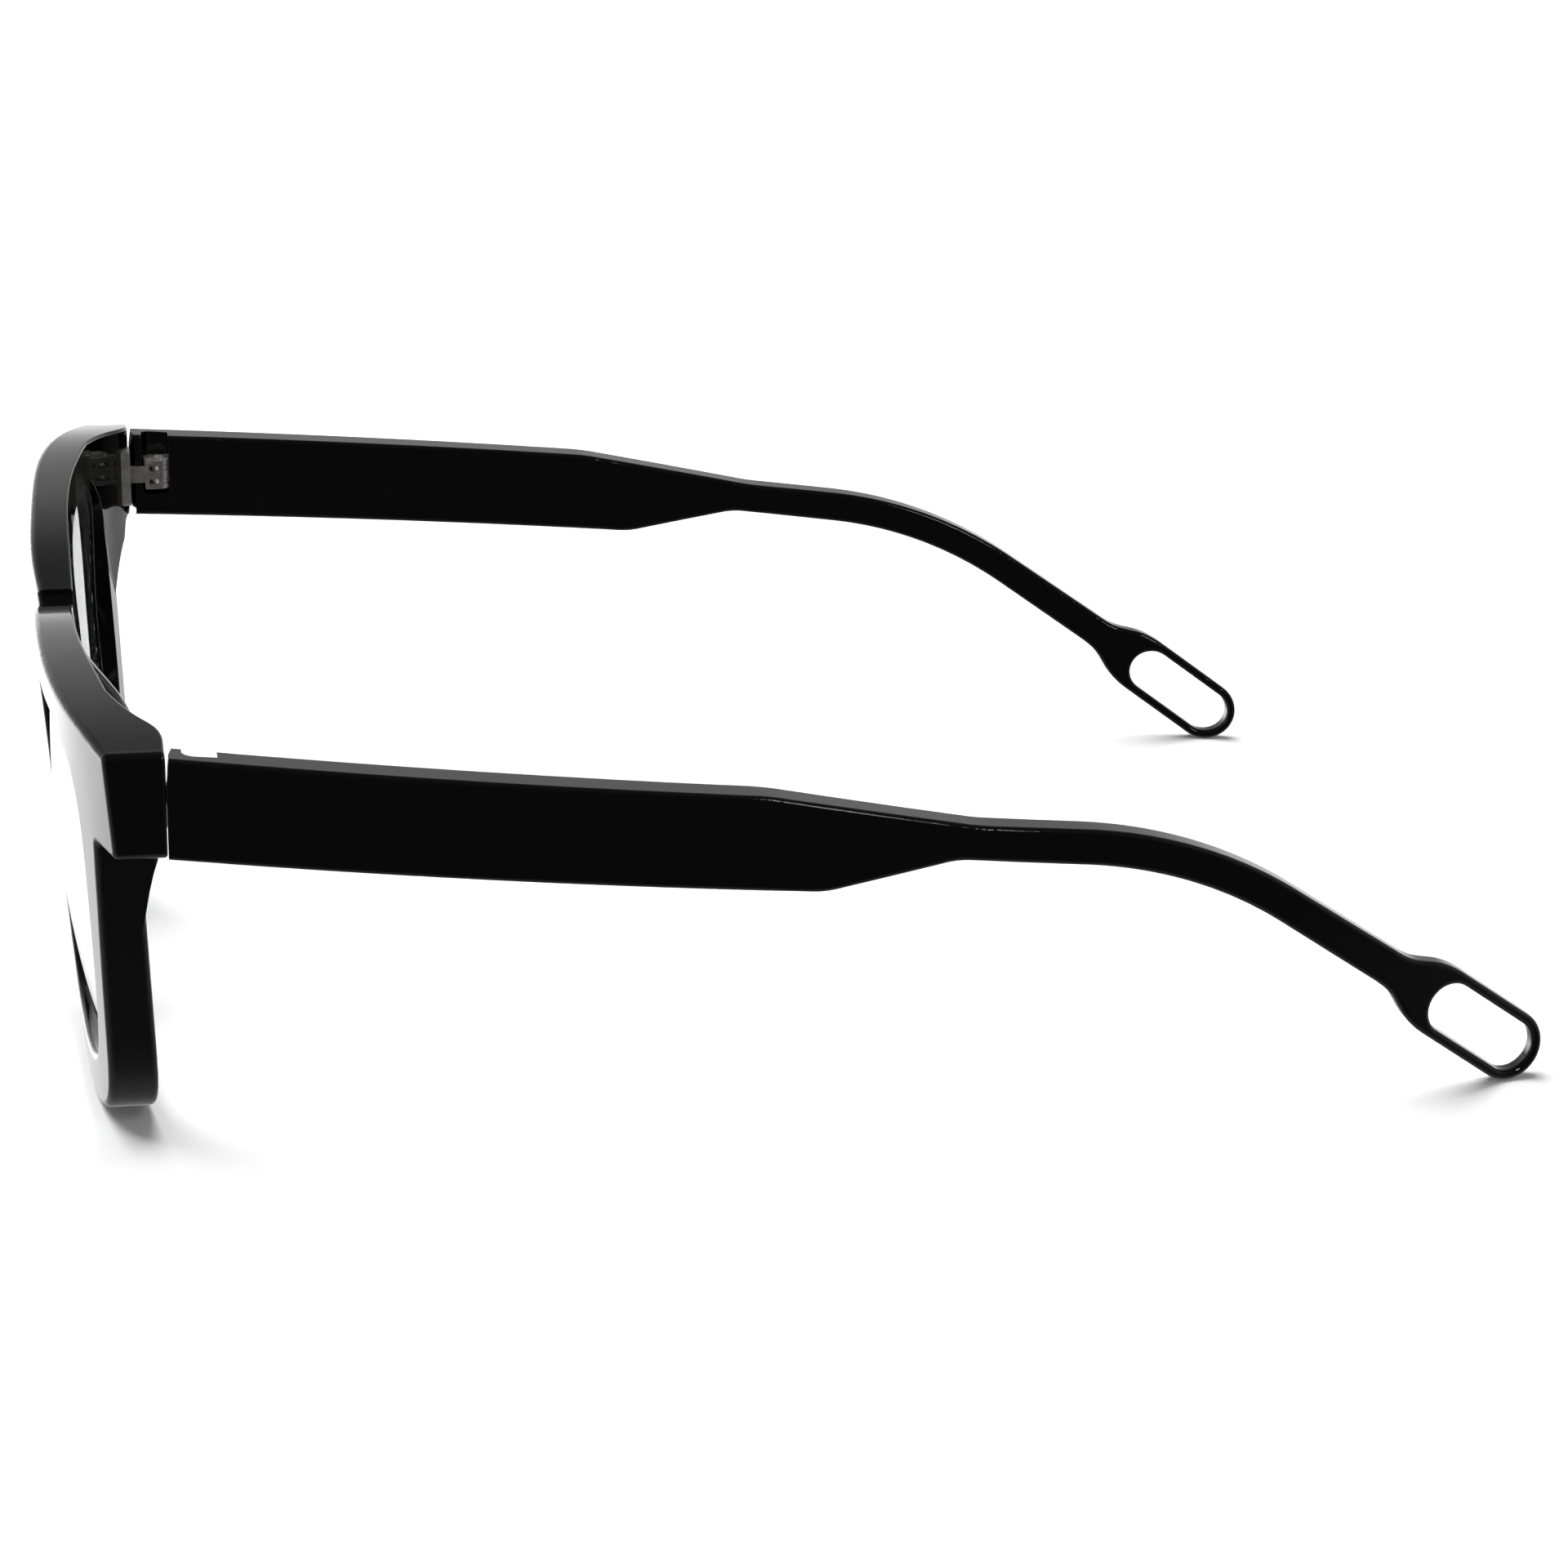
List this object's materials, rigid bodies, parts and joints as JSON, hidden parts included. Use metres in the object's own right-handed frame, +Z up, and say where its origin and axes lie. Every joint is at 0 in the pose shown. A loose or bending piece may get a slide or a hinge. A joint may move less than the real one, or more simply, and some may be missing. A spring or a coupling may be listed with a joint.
{
  "type": "eyeglasses",
  "caption": "Full-rim acetate eyeglasses with clear lenses, wide flat temples that slim to open end loops, and folding five-barrel hinges.",
  "frame": {"origin": "on the surface the glasses stand on, under the middle of the whole object", "axes": "+X towards the wearer's left, +Y from the front towards the temple ends, +Z up; the front faces -Y"},
  "size_m": [0.145, 0.1516, 0.0453],
  "materials": {
    "black_acetate": "polished",
    "pad_acetate": "polished",
    "clear_lens": "polished, clear",
    "hinge_steel": "polished",
    "core_wire": "drawn"
  },
  "bodies": {
    "front": {"front_frame": "black_acetate", "left_lens": "clear_lens", "left_nose_pad": "pad_acetate", "left_front_leaf": "hinge_steel", "left_hinge_screw": "hinge_steel", "right_lens": "clear_lens", "right_nose_pad": "pad_acetate", "right_front_leaf": "hinge_steel", "right_hinge_screw": "hinge_steel"},
    "left_arm": {"left_temple": "black_acetate", "left_temple_core": "core_wire", "left_temple_leaf": "hinge_steel"},
    "right_arm": {"right_temple": "black_acetate", "right_temple_core": "core_wire", "right_temple_leaf": "hinge_steel"}
  },
  "joints": [
    {"name": "left_temple_fold", "type": "hinge", "parent": "front", "child": "left_arm", "pos_m": [0.0646, -0.06014, 0.03815], "axis": [0, 0, 1], "range_deg": [0, 90]},
    {"name": "right_temple_fold", "type": "hinge", "parent": "front", "child": "right_arm", "pos_m": [-0.0646, -0.06014, 0.03815], "axis": [0, 0, -1], "range_deg": [0, 85]}
  ]
}
